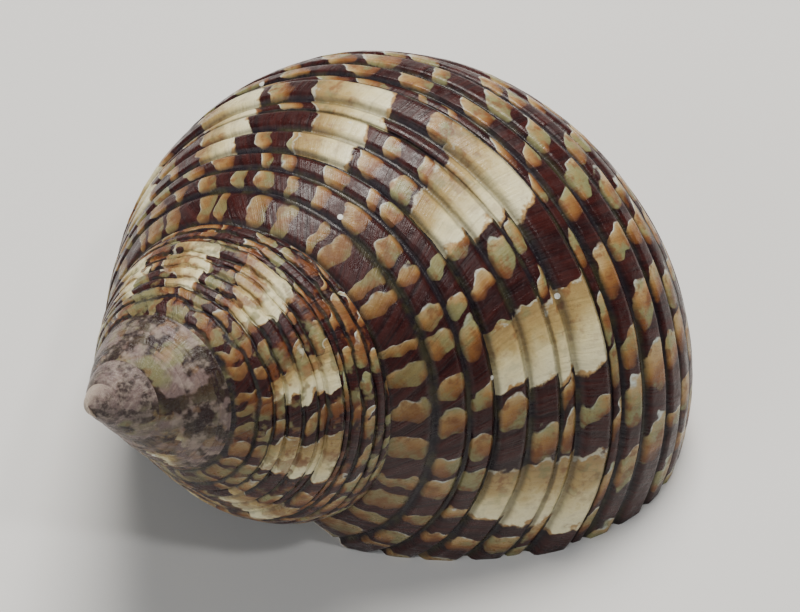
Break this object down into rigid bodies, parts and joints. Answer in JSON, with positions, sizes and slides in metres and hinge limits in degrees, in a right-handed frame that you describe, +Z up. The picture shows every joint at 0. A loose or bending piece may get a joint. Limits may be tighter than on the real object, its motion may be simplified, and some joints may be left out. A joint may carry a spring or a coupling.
{
  "type": "turban shell",
  "caption": "Turban sea-snail shell with a pointed spire, rounded body whorl, spiral cords and an open round aperture, lying mouth down.",
  "frame": {"origin": "centre of the bounding box's base, on the surface the shell lies on", "axes": "+Z up; +X along the longest side, from the apex towards the outer lip; the shell lies on its aperture, with its axis leaning"},
  "size_m": [0.047, 0.0376, 0.0299],
  "materials": {
    "shell": "satin"
  },
  "bodies": {
    "root": {"shell": "shell"}
  },
  "joints": []
}
